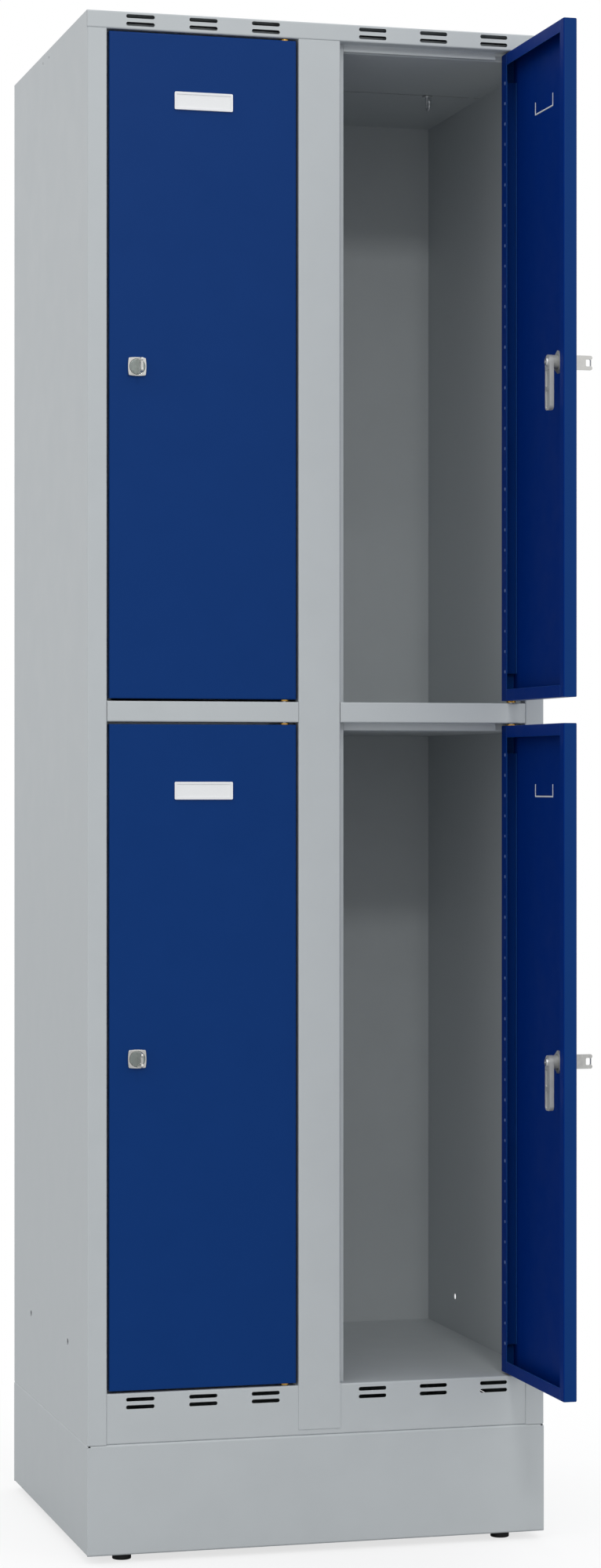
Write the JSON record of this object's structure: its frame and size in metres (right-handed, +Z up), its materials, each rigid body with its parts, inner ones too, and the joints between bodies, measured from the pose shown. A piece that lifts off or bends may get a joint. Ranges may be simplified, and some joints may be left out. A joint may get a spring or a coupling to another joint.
{
  "type": "school locker",
  "caption": "Sheet-steel school locker on a plinth: two columns of stacked compartments, concealed-pin hinged doors, turning padlock latches, label holders and levelling feet.",
  "frame": {"origin": "centre of the locker's 600 x 500 mm footprint, on the floor under the feet", "axes": "+Z up, the doors face -Y, +X to the right seen from the front"},
  "size_m": [0.6, 0.719, 1.94],
  "materials": {
    "body_grey": "light grey powder coat, satin",
    "plinth_grey": "light grey powder coat, satin",
    "door_blue": "gentian blue powder coat, satin",
    "label_plastic": "white moulded plastic",
    "label_card": "blank card behind a clear front",
    "lock_zinc": "zinc die casting, satin nickel plated",
    "lever_zinc": "zinc die casting, as cast",
    "nut_steel": "zinc plated steel, the lock washer yellow passivated",
    "hook_steel": "bright zinc plated steel",
    "bush_brass": "turned brass",
    "foot_plastic": "black moulded plastic and blackened stud"
  },
  "bodies": {
    "carcass": {"back_panel": "body_grey", "bottom_rail": "body_grey", "ceiling_lower": "body_grey", "ceiling_upper": "body_grey", "centre_partition": "body_grey", "centre_stile": "body_grey", "coat_hooks": "hook_steel", "floor_panel": "body_grey", "foot_plates": "body_grey", "hinge_pins": "nut_steel", "levelling_feet": "foot_plastic", "mid_rails": "body_grey", "plinth_back": "plinth_grey", "plinth_front": "plinth_grey", "plinth_side_left": "plinth_grey", "plinth_side_right": "plinth_grey", "roof_panel": "body_grey", "shelves": "body_grey", "side_panel_left": "body_grey", "side_panel_right": "body_grey"},
    "door_lower_left": {"door_panel_lower_left": "door_blue", "door_stiffener_lower_left": "door_blue", "hinge_bushes_lower_left": "bush_brass", "label_card_lower_left": "label_card", "label_frame_lower_left": "label_plastic", "lock_housing_lower_left": "lock_zinc", "lock_nut_lower_left": "nut_steel"},
    "latch_lower_left": {"lever_screw_lower_left": "nut_steel", "lock_knob_lower_left": "lock_zinc", "lock_lever_lower_left": "lever_zinc"},
    "door_lower_right": {"door_panel_lower_right": "door_blue", "door_stiffener_lower_right": "door_blue", "hinge_bushes_lower_right": "bush_brass", "label_card_lower_right": "label_card", "label_frame_lower_right": "label_plastic", "lock_housing_lower_right": "lock_zinc", "lock_nut_lower_right": "nut_steel"},
    "latch_lower_right": {"lever_screw_lower_right": "nut_steel", "lock_knob_lower_right": "lock_zinc", "lock_lever_lower_right": "lever_zinc"},
    "door_upper_left": {"door_panel_upper_left": "door_blue", "door_stiffener_upper_left": "door_blue", "hinge_bushes_upper_left": "bush_brass", "label_card_upper_left": "label_card", "label_frame_upper_left": "label_plastic", "lock_housing_upper_left": "lock_zinc", "lock_nut_upper_left": "nut_steel"},
    "latch_upper_left": {"lever_screw_upper_left": "nut_steel", "lock_knob_upper_left": "lock_zinc", "lock_lever_upper_left": "lever_zinc"},
    "door_upper_right": {"door_panel_upper_right": "door_blue", "door_stiffener_upper_right": "door_blue", "hinge_bushes_upper_right": "bush_brass", "label_card_upper_right": "label_card", "label_frame_upper_right": "label_plastic", "lock_housing_upper_right": "lock_zinc", "lock_nut_upper_right": "nut_steel"},
    "latch_upper_right": {"lever_screw_upper_right": "nut_steel", "lock_knob_upper_right": "lock_zinc", "lock_lever_upper_right": "lever_zinc"}
  },
  "joints": [
    {"name": "hinge_lower_left", "type": "hinge", "parent": "carcass", "child": "door_lower_left", "pos_m": [-0.044, -0.241, 0.215], "axis": [0, 0, 1], "range_deg": [0, 110]},
    {"name": "latch_turn_lower_left", "type": "hinge", "parent": "door_lower_left", "child": "latch_lower_left", "pos_m": [-0.237, -0.241, 0.63], "axis": [0, 1, 0], "range_deg": [0, 90]},
    {"name": "hinge_lower_right", "type": "hinge", "parent": "carcass", "child": "door_lower_right", "pos_m": [0.2585, -0.241, 0.215], "axis": [0, 0, 1], "range_deg": [-90, 20]},
    {"name": "latch_turn_lower_right", "type": "hinge", "parent": "door_lower_right", "child": "latch_lower_right", "pos_m": [0.2585, -0.434, 0.63], "axis": [-1, 0, 0], "range_deg": [0, 90]},
    {"name": "hinge_upper_left", "type": "hinge", "parent": "carcass", "child": "door_upper_left", "pos_m": [-0.044, -0.241, 1.081], "axis": [0, 0, 1], "range_deg": [0, 110]},
    {"name": "latch_turn_upper_left", "type": "hinge", "parent": "door_upper_left", "child": "latch_upper_left", "pos_m": [-0.237, -0.241, 1.496], "axis": [0, 1, 0], "range_deg": [0, 90]},
    {"name": "hinge_upper_right", "type": "hinge", "parent": "carcass", "child": "door_upper_right", "pos_m": [0.2585, -0.241, 1.081], "axis": [0, 0, 1], "range_deg": [-90, 20]},
    {"name": "latch_turn_upper_right", "type": "hinge", "parent": "door_upper_right", "child": "latch_upper_right", "pos_m": [0.2585, -0.434, 1.496], "axis": [-1, 0, 0], "range_deg": [0, 90]}
  ]
}
